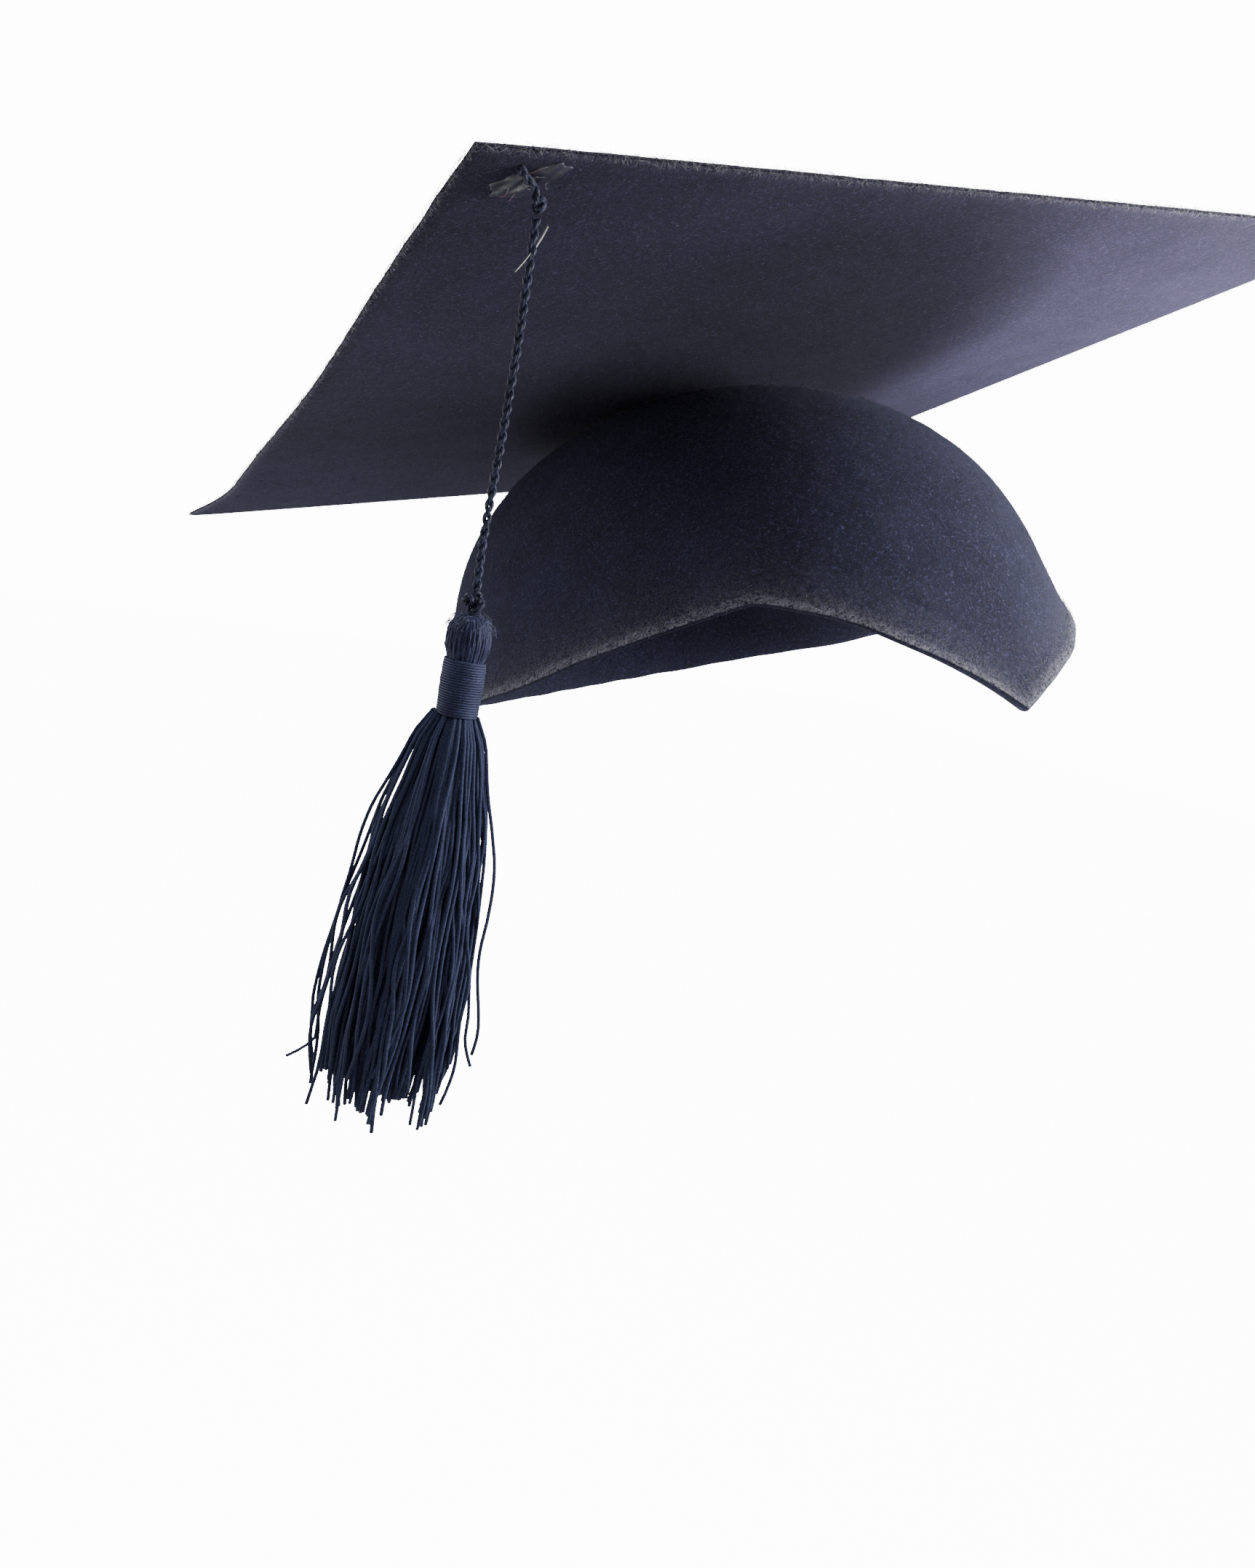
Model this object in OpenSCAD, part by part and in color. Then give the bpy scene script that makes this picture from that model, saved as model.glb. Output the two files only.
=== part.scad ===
// Graduation cap: a felt skullcap glued under a square felt-covered board,
// with a tassel that hangs from a dab of glue under one corner of the board.
// The cap is shown as worn, leaning towards the wearer's right and rear,
// so the tassel hangs plumb along -Z while the board slopes.
// The peak of the skullcap faces -Y and the wearer's right is -X.
// The origin is the middle of the head opening.

/* [Fit on the head] */
// Lean of the whole cap towards its rear right corner, in degrees
wear_lean = 21.5; // [0:0.5:30]
// Turn of the board's left front corner away from the peak, in degrees
board_turn = 43; // [35:1:55]
// Depth of the head opening's middle below the board
opening_depth = 72; // [65:1:80]

/* [Board] */
// Side of the square board
board_side = 240; // [225:1:250]
// Thickness of the card that stiffens the board
card_t = 0.6; // [0.5:0.1:3]
// Thickness of the felt on each face of the board
board_felt_t = 0.5; // [0.4:0.1:1.5]
// How far the card stops short of the felt's cut edge
card_inset = 1.5; // [0.5:0.5:5]

/* [Skullcap] */
// Outer length of the skullcap, front to back
cap_length = 188; // [180:1:200]
// Outer width of the skullcap, ear to ear
cap_width = 150; // [144:1:160]
// Depth at which the dome's wall turns vertical
dome_depth = 84; // [78:1:90]
// Thickness of the moulded felt
cap_felt_t = 3; // [2:0.25:4]
// How far the crown's middle sits behind the board's middle
crown_back = 8; // [0:1:12]
// How far the crown's middle sits to the right of the board's middle
crown_right = 7.5; // [0:0.5:10]
// How far the dome's sections shift forward from the crown to the rim
dome_forward = 11; // [6:1:14]
// Depth of the rim at the front peak
peak_depth = 97; // [90:1:104]
// Depth of the rim at the top of the arch over the right temple
arch_depth = 65; // [60:1:70]
// Depth of the rim at the nape
nape_depth = 78; // [74:1:86]
// Outward turn of the rim at the nape
nape_lip = 7.5; // [0:0.5:9]
// Outward turn of the rim at the peak
peak_lip = 3.5; // [0:0.5:5]

/* [Glue] */
// Thickness of the glue between crown and board
crown_glue_t = 1.2; // [1:0.1:1.6]
// Radius of the glue between crown and board
crown_glue_r = 11; // [8:1:12]
// Thickness of the glue dab under the corner
dab_t = 1.2; // [0.8:0.1:2]
// Length of the glue dab
dab_length = 17; // [12:1:20]
// Width of the glue dab
dab_width = 9; // [6:1:12]

/* [Tassel] */
// Distance from the board's corner to the point where the tassel hangs
hang_inset = 14; // [12:1:20]
// Diameter of the twisted cord
cord_d = 1.3; // [1:0.1:2]
// Drop from the knot under the board to the knot on the tassel
cord_drop = 59.5; // [56:0.5:80]
// Diameter of the knots at the ends of the cord
knot_d = 3.4; // [3:0.1:4]
// Diameter of the folded head of the bundle
head_d = 7.4; // [6:0.2:9]
// Height of the folded head
head_h = 7; // [6:0.5:9]
// Diameter over the binding thread
binding_d = 7; // [6:0.2:8]
// Height of the binding
binding_h = 9.5; // [8:0.5:12]
// Length of the loose threads below the binding
skirt_length = 72; // [60:1:80]
// Widest diameter of the loose threads
skirt_d = 26; // [20:1:30]

/* [Tag pin] */
// Diameter of the plastic filament left in the cord
pin_d = 0.5; // [0.4:0.1:0.8]
// Length of the filament
pin_length = 10; // [8:1:12]
// Drop of the filament's middle below the hanging point
pin_drop = 6.2; // [6:0.2:9]
// Slant of the filament from plumb, in degrees
pin_slant = 34; // [30:1:40]

/* [Hidden] */

$fn = 64;
// Clearance between soft pieces that move against each other
clear = 0.3;
// How far the tassel hangs from the board's diagonal
hang_aside = 3.5;
// Turn of the filament about plumb, in degrees
pin_turn = 26;
// Radius of the ring that the cord makes inside the tassel's head
loop_r = 1.5;
// Room for the ring in the head
loop_room = 0.1;
// Thickness of the binding thread, and the size of its rounded ends
binding_t = 0.5;
binding_edge_r = 0.2;
binding_edge_h = 1;

// Directions in the cap's own frame: +Z is the board's normal
right_corner = [-cos(board_turn), -sin(board_turn), 0];
left_corner = [sin(board_turn), -cos(board_turn), 0];

// Fullness of the dome: how square its meridians are
dome_fullness = 2.8;
dome_roundness = 1.8;
// Forward shift of the dome's sections for each millimetre of depth
dome_lean = dome_forward / dome_depth;
// Reach of the peak around the rim to each side, in degrees
peak_reach_right = 39;
peak_reach_left = 78;
peak_curve = 1.3;
// Reach of the rise from the arch to the nape, in degrees
nape_reach = 80;
nape_curve = 1.2;
// Height over which the rim turns outwards
lip_h = 9;
// Segments round the dome and rings down it
dome_segments = 72;
dome_rings = 16;

// The board's middle as seen from the middle of the head opening, before the cap leans
board_middle = [crown_right, dome_lean * opening_depth - crown_back, opening_depth];

// Turns a point of the cap's own frame into the leaning cap's frame
function lean(p) =
    let (k = right_corner)
    p * cos(wear_lean)
    + cross(k, p) * sin(wear_lean)
    + k * (k * p) * (1 - cos(wear_lean));

// Where the knot under the board hangs
hang_in_cap = right_corner * (board_side / sqrt(2) - hang_inset)
    + left_corner * hang_aside
    - [0, 0, dab_t + knot_d / 2 + clear];
hang = lean(board_middle + hang_in_cap);

// Heights along the tassel, measured down from the hanging point
cord_top = knot_d / 2 + clear;
cord_end = cord_drop - knot_d / 2 - clear;
head_top = cord_drop + knot_d / 2 + clear;
binding_top = head_top + head_h;
skirt_top = binding_top + binding_h;
neck_d = binding_d - 2 * binding_t;

// The cord's sideways wander on its way down, by share of the drop
cord_wander = [
    [0, 0, 0],
    [0.1, 0, 0.08],
    [0.2, 0.1, 0.16],
    [0.3, 0.1, 0.25],
    [0.3, 0, 0.34],
    [0.2, -0.1, 0.43],
    [0.1, -0.2, 0.52],
    [0, -0.2, 0.61],
    [-0.1, -0.1, 0.7],
    [-0.2, 0, 0.79],
    [-0.2, 0.1, 0.87],
    [-0.1, 0.1, 0.94],
    [0, 0, 1]
];
cord_sides = 8;

// Places children under the board's middle, in the board's own frame
module on_cap() {
    rotate(a = wear_lean, v = right_corner)
        translate(board_middle)
            children();
}

// Places children under the board's corner, plumb, with the hanging point at the origin
module on_tassel() {
    translate(hang)
        children();
}

module square_sheet(side, z, t) {
    on_cap()
        rotate([0, 0, board_turn - 45])
            translate([-side / 2, -side / 2, z])
                cube([side, side, t]);
}

module board_card() {
    color([0.55, 0.50, 0.42])
        square_sheet(board_side - 2 * card_inset, board_felt_t, card_t);
}

module board_top_felt() {
    color([0.05, 0.05, 0.08])
        square_sheet(board_side, board_felt_t + card_t, board_felt_t);
}

module board_underside_felt() {
    color([0.07, 0.07, 0.11])
        square_sheet(board_side, 0, board_felt_t);
}

module crown_glue() {
    color([0.85, 0.84, 0.78])
        on_cap()
            translate([-crown_right, crown_back, -crown_glue_t])
                cylinder(r = crown_glue_r, h = crown_glue_t);
}

// Share of the full radius at a depth below the dome's apex
function dome_share(depth, full_depth) =
    let (h = max(0, 1 - depth / full_depth))
    pow(1 - pow(h, dome_fullness), 1 / dome_roundness);

// Angle from the peak, from -180 to 180, positive towards the wearer's right
function from_peak(a) = a > 180 ? a - 360 : a;

// Depth of the rim at an angle from the peak
function rim_depth(a) =
    let (
        t = from_peak(a),
        reach = t < 0 ? peak_reach_left : peak_reach_right,
        peak = pow(max(0, 1 - abs(t) / reach), peak_curve),
        rise = min(1, max(0, (abs(t) - peak_reach_right) / nape_reach)),
        nape = pow(sin(90 * rise), nape_curve)
    )
    arch_depth + (peak_depth - arch_depth) * peak + (nape_depth - arch_depth) * nape;

// A point on a dome whose wall is set in by inset, at share s of the way to the rim
function dome_point(a, s, inset) =
    let (
        top = crown_glue_t + inset,
        rim = rim_depth(a),
        depth = top + (rim - top) * s * (0.4 + 0.6 * s),
        share = dome_share(depth - inset, dome_depth - inset),
        lip = peak_lip + (nape_lip - peak_lip) * (1 - cos(a)) / 2,
        flare = lip * exp((depth - rim) / lip_h),
        half_width = (cap_width / 2 - inset) * share + flare,
        half_length = (cap_length / 2 - inset) * share + flare
    )
    [
        -crown_right - half_width * sin(a),
        crown_back - dome_lean * depth - half_length * cos(a),
        -depth
    ];

function dome_ring(s, inset) =
    [for (i = [0:dome_segments - 1]) dome_point(i * 360 / dome_segments, s, inset)];

// The shell runs down the outside from the crown, under the rim and up the inside
module skullcap() {
    outer = [for (j = [0:dome_rings]) each dome_ring(j / dome_rings, 0)];
    inner = [for (j = [dome_rings:-1:0]) each dome_ring(j / dome_rings, cap_felt_t)];
    rows = 2 * (dome_rings + 1);
    crown = [for (i = [0:dome_segments - 1]) i];
    roof = [for (i = [dome_segments - 1:-1:0]) (rows - 1) * dome_segments + i];
    wall = [
        for (j = [0:rows - 2], i = [0:dome_segments - 1])
            let (
                n = (i + 1) % dome_segments,
                a = j * dome_segments + i,
                b = j * dome_segments + n,
                c = (j + 1) * dome_segments + n,
                d = (j + 1) * dome_segments + i
            )
            each [[a, d, c], [a, c, b]]
    ];
    color([0.05, 0.05, 0.08])
        on_cap()
            polyhedron(points = concat(outer, inner), faces = concat([crown, roof], wall));
}

// A long flat dab with round ends, lying along the line between two board edges
module corner_glue() {
    end_r = dab_width / 2;
    run = dab_length / 2 - end_r;
    color([0.80, 0.80, 0.82])
        on_cap()
            translate(right_corner * (board_side / sqrt(2) - hang_inset))
                rotate([0, 0, board_turn - 90])
                    hull() {
                        for (side = [-1, 1])
                            translate([side * run, 0, -dab_t])
                                cylinder(r = end_r, h = dab_t, $fn = 32);
                    }
}

module cord_top_knot() {
    color([0.06, 0.07, 0.13])
        on_tassel()
            sphere(d = knot_d);
}

function cord_point(w) = [w[0], w[1], -cord_top - (cord_end - cord_top) * w[2]];

module tassel_cord() {
    rings = len(cord_wander);
    points = [
        for (w = cord_wander, k = [0:cord_sides - 1])
            cord_point(w) + cord_d / 2 * [cos(k * 360 / cord_sides), sin(k * 360 / cord_sides), 0]
    ];
    wall = [
        for (j = [0:rings - 2], k = [0:cord_sides - 1])
            let (n = (k + 1) % cord_sides)
            [
                j * cord_sides + k,
                j * cord_sides + n,
                (j + 1) * cord_sides + n,
                (j + 1) * cord_sides + k
            ]
    ];
    top = [for (k = [cord_sides - 1:-1:0]) k];
    end = [for (k = [0:cord_sides - 1]) (rings - 1) * cord_sides + k];
    color([0.06, 0.07, 0.13])
        on_tassel()
            polyhedron(points = points, faces = concat([top, end], wall));
}

// A filament of a swing tag that still runs through the cord near its top
module tag_pin() {
    color([0.85, 0.86, 0.90])
        on_tassel()
            translate([0, 0, -pin_drop])
                rotate([0, pin_slant, pin_turn])
                    cylinder(d = pin_d, h = pin_length, center = true, $fn = 24);
}

module tassel_knot() {
    color([0.06, 0.07, 0.13])
        on_tassel()
            translate([0, 0, -cord_drop])
                sphere(d = knot_d);
}

// The ring of cord that the bundle of threads is folded over
module loop_ring(extra) {
    translate([0, 0, -head_top - head_h / 2])
        rotate([90, 0, 0])
            rotate_extrude()
                translate([loop_r, 0])
                    circle(d = cord_d + extra, $fn = 24);
}

module tassel_loop() {
    color([0.06, 0.07, 0.13])
        on_tassel()
            loop_ring(0);
}

// The folded head swells out of the neck that the binding grips
module tassel_head() {
    color([0.07, 0.08, 0.15])
        on_tassel()
            difference() {
                rotate_extrude()
                    polygon([
                        [0, -head_top],
                        [head_d * 0.25, -head_top - head_h * 0.06],
                        [head_d * 0.42, -head_top - head_h * 0.25],
                        [head_d * 0.5, -head_top - head_h * 0.55],
                        [head_d * 0.48, -head_top - head_h * 0.85],
                        [neck_d / 2, -binding_top],
                        [neck_d / 2, -skirt_top],
                        [0, -skirt_top]
                    ]);
                loop_ring(loop_room);
            }
}

module tassel_binding() {
    color([0.06, 0.07, 0.14])
        on_tassel()
            rotate_extrude()
                polygon([
                    [neck_d / 2, -binding_top],
                    [binding_d / 2 - binding_edge_r, -binding_top],
                    [binding_d / 2, -binding_top - binding_edge_h],
                    [binding_d / 2, -skirt_top + binding_edge_h],
                    [binding_d / 2 - binding_edge_r, -skirt_top],
                    [neck_d / 2, -skirt_top]
                ]);
}

module tassel_skirt() {
    color([0.04, 0.05, 0.10])
        on_tassel()
            rotate_extrude()
                polygon([
                    [0, -skirt_top],
                    [neck_d / 2, -skirt_top],
                    [skirt_d * 0.20, -skirt_top - skirt_length * 0.06],
                    [skirt_d * 0.33, -skirt_top - skirt_length * 0.24],
                    [skirt_d * 0.44, -skirt_top - skirt_length * 0.48],
                    [skirt_d * 0.50, -skirt_top - skirt_length * 0.76],
                    [skirt_d * 0.46, -skirt_top - skirt_length * 0.92],
                    [skirt_d * 0.38, -skirt_top - skirt_length],
                    [0, -skirt_top - skirt_length]
                ]);
}

board_card();
board_top_felt();
board_underside_felt();
crown_glue();
skullcap();
corner_glue();
cord_top_knot();
tassel_cord();
tag_pin();
tassel_knot();
tassel_loop();
tassel_head();
tassel_binding();
tassel_skirt();
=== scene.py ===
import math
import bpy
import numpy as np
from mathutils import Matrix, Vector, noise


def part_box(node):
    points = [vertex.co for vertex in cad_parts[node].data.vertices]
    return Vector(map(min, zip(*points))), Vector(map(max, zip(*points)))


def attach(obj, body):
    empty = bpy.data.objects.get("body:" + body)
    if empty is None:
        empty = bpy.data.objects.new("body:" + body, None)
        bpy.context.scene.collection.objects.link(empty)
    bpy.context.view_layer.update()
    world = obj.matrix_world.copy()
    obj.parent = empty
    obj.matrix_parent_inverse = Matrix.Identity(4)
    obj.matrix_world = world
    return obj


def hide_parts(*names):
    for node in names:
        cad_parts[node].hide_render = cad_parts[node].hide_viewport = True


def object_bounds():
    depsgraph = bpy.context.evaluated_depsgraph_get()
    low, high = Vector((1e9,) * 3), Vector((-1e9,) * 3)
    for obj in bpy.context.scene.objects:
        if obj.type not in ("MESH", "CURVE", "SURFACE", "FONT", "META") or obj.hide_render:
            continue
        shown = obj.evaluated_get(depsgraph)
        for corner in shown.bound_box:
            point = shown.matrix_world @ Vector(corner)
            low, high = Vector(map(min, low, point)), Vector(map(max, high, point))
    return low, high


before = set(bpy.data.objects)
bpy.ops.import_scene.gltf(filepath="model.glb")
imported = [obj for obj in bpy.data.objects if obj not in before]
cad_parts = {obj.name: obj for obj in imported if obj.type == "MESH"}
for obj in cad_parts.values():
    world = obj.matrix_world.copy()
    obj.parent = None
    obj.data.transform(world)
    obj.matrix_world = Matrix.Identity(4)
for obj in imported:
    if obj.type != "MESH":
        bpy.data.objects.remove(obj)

# Looks for the graduation cap: felt board and skullcap, glue, twisted cord and tassel.
# Lengths are in metres in the part's frame: +Z up, the peak faces -Y, the wearer's right is -X.
# Shapes of the cap are worked out in the cap's own frame, whose origin is under the middle of
# the board with +Z along the board's normal, and on_cap() carries them into the part's frame.

cad_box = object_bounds()

MM = 0.001

# Driving dimensions, as in the part's source
WEAR_LEAN = math.radians(21.5)
BOARD_TURN = math.radians(43)
OPENING_DEPTH = 72 * MM
BOARD_SIDE = 240 * MM
BOARD_FELT = 0.5 * MM
CARD = 0.6 * MM
CARD_INSET = 1.5 * MM
CAP_LENGTH = 188 * MM
CAP_WIDTH = 150 * MM
DOME_DEPTH = 84 * MM
CAP_FELT = 3 * MM
CROWN_BACK = 8 * MM
CROWN_RIGHT = 7.5 * MM
DOME_FORWARD = 11 * MM
CROWN_GLUE = 1.2 * MM
PEAK_DEPTH = 97 * MM
ARCH_DEPTH = 65 * MM
NAPE_DEPTH = 78 * MM
NAPE_LIP = 7.5 * MM
PEAK_LIP = 3.5 * MM
LIP_HEIGHT = 9 * MM
DOME_FULLNESS = 2.8
DOME_ROUNDNESS = 1.8
PEAK_REACH_RIGHT = 39
PEAK_REACH_LEFT = 78
PEAK_CURVE = 1.3
NAPE_REACH = 80
NAPE_CURVE = 1.2
HANG_INSET = 14 * MM
GLUE_DAB = 1.2 * MM
CORD_D = 1.3 * MM

HALF_DIAGONAL = BOARD_SIDE / math.sqrt(2)
RIGHT_CORNER = np.array([-math.cos(BOARD_TURN), -math.sin(BOARD_TURN), 0.0])
LEFT_CORNER = np.array([math.sin(BOARD_TURN), -math.cos(BOARD_TURN), 0.0])


def flat_turn(angle):
    """A matrix that turns flat row vectors by an angle about the board's normal."""
    return np.array([[math.cos(angle), math.sin(angle)], [-math.sin(angle), math.cos(angle)]])


# Turns a square with sides along the axes so that its corners are the board's
SQUARE_TURN = flat_turn(BOARD_TURN - math.pi / 4)


# ---------------------------------------------------------------- frames and points

CAP_TO_PART = np.array(
    Matrix.Rotation(WEAR_LEAN, 4, Vector(RIGHT_CORNER))
    @ Matrix.Translation((CROWN_RIGHT, DOME_FORWARD * OPENING_DEPTH / DOME_DEPTH - CROWN_BACK, OPENING_DEPTH))
)


def on_cap(points):
    """Points of the cap's own frame, carried into the part's frame."""
    points = np.asarray(points, float)
    return points @ CAP_TO_PART[:3, :3].T + CAP_TO_PART[:3, 3]


def middle(node):
    low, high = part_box(node)
    return (np.array(low) + np.array(high)) / 2


def top_of(node):
    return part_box(node)[1][2]


def foot_of(node):
    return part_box(node)[0][2]


def smooth_noise(points, size, seed):
    """Perlin noise from about -1 to 1 at each point, with features of the given size."""
    shift = Vector((seed * 7.3, seed * 3.1, seed * 5.7))
    return np.array([noise.noise(Vector(p) / size + shift) for p in points])


HANG = middle("cord_top_knot")
NOD = middle("tassel_knot")


# ---------------------------------------------------------------- camera

camera_data = bpy.data.cameras.new("camera")
camera_data.lens = 24.14
camera_data.sensor_width = 36
camera_data.clip_start = 0.01
camera = bpy.data.objects.new("camera", camera_data)
camera.location = (-0.1921, -0.2458, 0.0188)
camera.rotation_euler = [math.radians(a) for a in (77.89, -10.93, -31.74)]
bpy.context.collection.objects.link(camera)
bpy.context.scene.camera = camera


# ---------------------------------------------------------------- materials

def new_material(name):
    material = bpy.data.materials.new(name)
    material.use_nodes = True
    nodes = material.node_tree.nodes
    links = material.node_tree.links
    return material, nodes, links, nodes["Principled BSDF"]


def add_noise(nodes, links, scale, detail, distortion=0.0):
    coords = nodes.new("ShaderNodeTexCoord")
    tex = nodes.new("ShaderNodeTexNoise")
    tex.inputs["Scale"].default_value = scale
    tex.inputs["Detail"].default_value = detail
    tex.inputs["Distortion"].default_value = distortion
    links.new(coords.outputs["Object"], tex.inputs["Vector"])
    return tex


def add_ramp(nodes, links, source, stops):
    ramp = nodes.new("ShaderNodeValToRGB")
    elements = ramp.color_ramp.elements
    while len(elements) < len(stops):
        elements.new(0.5)
    for element, (place, colour) in zip(elements, stops):
        element.position = place
        element.color = (*colour, 1)
    links.new(source, ramp.inputs["Fac"])
    return ramp


def grey(value):
    return (value, value, value)


def mix_colour(nodes, links, factor, first, second, mode="MIX"):
    mix = nodes.new("ShaderNodeMix")
    mix.data_type = "RGBA"
    mix.blend_type = mode
    mix.clamp_factor = True
    if isinstance(factor, (int, float)):
        mix.inputs[0].default_value = factor
    else:
        links.new(factor, mix.inputs[0])
    for socket, value in ((mix.inputs[6], first), (mix.inputs[7], second)):
        if isinstance(value, tuple):
            socket.default_value = (*value, 1)
        else:
            links.new(value, socket)
    return mix.outputs[2]


def multiply(nodes, links, first, second):
    node = nodes.new("ShaderNodeMath")
    node.operation = "MULTIPLY"
    node.use_clamp = True
    links.new(first, node.inputs[0])
    links.new(second, node.inputs[1])
    return node.outputs[0]


def add_bump(nodes, links, height, strength, distance):
    bump = nodes.new("ShaderNodeBump")
    bump.inputs["Strength"].default_value = strength
    bump.inputs["Distance"].default_value = distance
    links.new(height, bump.inputs["Height"])
    return bump


def felt_material(name, dark, light, worn, grain=1.0):
    """Needled felt: matted fibres of mixed tone, worn grey where the wear attribute is high."""
    material, nodes, links, shader = new_material(name)
    cloud = add_noise(nodes, links, 60, 4)
    fibres = add_noise(nodes, links, 2300, 3, 2.5)
    flecks = add_noise(nodes, links, 1500, 2, 1.5)
    tints = add_noise(nodes, links, 1900, 2, 1.0)
    cloud_ramp = add_ramp(nodes, links, cloud.outputs["Fac"], [(0.3, dark), (0.72, light)])
    fibre_ramp = add_ramp(nodes, links, fibres.outputs["Fac"], [(0.35, grey(0.35)), (0.68, grey(1.0))])
    toned = mix_colour(
        nodes, links, 1.0, cloud_ramp.outputs["Color"], fibre_ramp.outputs["Color"], "MULTIPLY")
    toned = mix_colour(nodes, links, 0.6, toned, tints.outputs["Color"], "MULTIPLY")
    lint = add_ramp(nodes, links, flecks.outputs["Fac"], [(0.56, grey(0)), (0.72, grey(0.7))])
    toned = mix_colour(nodes, links, lint.outputs["Color"], toned, tuple(1.7 * c for c in light))
    wear = nodes.new("ShaderNodeAttribute")
    wear.attribute_name = "wear"
    patchy = add_noise(nodes, links, 1300, 4, 1.5)
    patches = add_ramp(nodes, links, patchy.outputs["Fac"], [(0.38, grey(0.05)), (0.62, grey(1))])
    amount = multiply(nodes, links, wear.outputs["Fac"], patches.outputs["Color"])
    links.new(mix_colour(nodes, links, amount, toned, worn), shader.inputs["Base Color"])
    shader.inputs["Roughness"].default_value = 0.95
    shader.inputs["Specular IOR Level"].default_value = 0.12
    shader.inputs["Sheen Weight"].default_value = 0.03
    shader.inputs["Sheen Roughness"].default_value = 0.55
    shader.inputs["Sheen Tint"].default_value = (0.55, 0.58, 0.80, 1)
    matting = add_noise(nodes, links, 900, 4, 1.2)
    coarse = add_bump(nodes, links, matting.outputs["Fac"], 0.4 * grain, 0.5 * MM)
    fine = add_bump(nodes, links, fibres.outputs["Fac"], 0.7 * grain, 0.3 * MM)
    links.new(coarse.outputs["Normal"], fine.inputs["Normal"])
    links.new(fine.outputs["Normal"], shader.inputs["Normal"])
    return material


def thread_material(name, dark, light, roughness, sheen):
    """Silky thread: fine filaments along it, glossier where they catch the light."""
    material, nodes, links, shader = new_material(name)
    filaments = add_noise(nodes, links, 3800, 3, 0.4)
    tone = add_noise(nodes, links, 260, 3)
    tone_ramp = add_ramp(nodes, links, tone.outputs["Fac"], [(0.32, dark), (0.7, light)])
    fine_ramp = add_ramp(nodes, links, filaments.outputs["Fac"], [(0.35, grey(0.6)), (0.7, grey(1.5))])
    colour = mix_colour(nodes, links, 1.0, tone_ramp.outputs["Color"], fine_ramp.outputs["Color"], "MULTIPLY")
    links.new(colour, shader.inputs["Base Color"])
    rough = add_ramp(nodes, links, filaments.outputs["Fac"],
                     [(0.3, grey(roughness - 0.08)), (0.7, grey(roughness + 0.12))])
    links.new(rough.outputs["Color"], shader.inputs["Roughness"])
    shader.inputs["Specular IOR Level"].default_value = 0.18
    shader.inputs["Sheen Weight"].default_value = sheen
    shader.inputs["Sheen Roughness"].default_value = 0.35
    shader.inputs["Sheen Tint"].default_value = (0.55, 0.62, 0.95, 1)
    bump = add_bump(nodes, links, filaments.outputs["Fac"], 0.5, 0.1 * MM)
    links.new(bump.outputs["Normal"], shader.inputs["Normal"])
    return material


def glue_material():
    """Hot-melt glue: as dark as the felt that shows through it, milky in patches, and paler on its raised
    lumps as a painted highlight along the ridges.
    """
    material, nodes, links, shader = new_material("hot_glue")
    cloud = add_noise(nodes, links, 380, 4, 1.5)
    # The palest stop falls where the bump is highest: partly milky glue, partly a painted highlight on the
    # ridges
    stops = [(0.42, (0.012, 0.011, 0.024)), (0.62, (0.016, 0.014, 0.030)), (0.80, (0.036, 0.033, 0.048))]
    ramp = add_ramp(nodes, links, cloud.outputs["Fac"], stops)
    links.new(ramp.outputs["Color"], shader.inputs["Base Color"])
    shader.inputs["Roughness"].default_value = 0.45
    shader.inputs["Coat Weight"].default_value = 0.1
    shader.inputs["Coat Roughness"].default_value = 0.2
    bump = add_bump(nodes, links, cloud.outputs["Fac"], 0.4, 0.4 * MM)
    links.new(bump.outputs["Normal"], shader.inputs["Normal"])
    return material


def milky_material(name, colour, roughness):
    material, nodes, links, shader = new_material(name)
    cloud = add_noise(nodes, links, 900, 3)
    low = tuple(0.75 * c for c in colour)
    ramp = add_ramp(nodes, links, cloud.outputs["Fac"], [(0.35, low), (0.65, colour)])
    links.new(ramp.outputs["Color"], shader.inputs["Base Color"])
    shader.inputs["Roughness"].default_value = roughness
    shader.inputs["Subsurface Weight"].default_value = 0.2
    shader.inputs["Subsurface Scale"].default_value = 0.5 * MM
    return material


def hair_material(name, colour):
    """Loose felt hairs, each a little lighter or darker than the next."""
    material, nodes, links, shader = new_material(name)
    tone = add_noise(nodes, links, 1200, 1)
    low = tuple(0.6 * c for c in colour)
    ramp = add_ramp(nodes, links, tone.outputs["Fac"], [(0.35, low), (0.65, colour)])
    links.new(ramp.outputs["Color"], shader.inputs["Base Color"])
    shader.inputs["Roughness"].default_value = 0.85
    shader.inputs["Specular IOR Level"].default_value = 0.25
    return material


def card_material():
    material, nodes, links, shader = new_material("card")
    pulp = add_noise(nodes, links, 900, 5, 0.5)
    stops = [(0.3, (0.16, 0.14, 0.11)), (0.7, (0.28, 0.25, 0.20))]
    ramp = add_ramp(nodes, links, pulp.outputs["Fac"], stops)
    links.new(ramp.outputs["Color"], shader.inputs["Base Color"])
    shader.inputs["Roughness"].default_value = 0.9
    bump = add_bump(nodes, links, pulp.outputs["Fac"], 0.3, 0.2 * MM)
    links.new(bump.outputs["Normal"], shader.inputs["Normal"])
    return material


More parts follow.
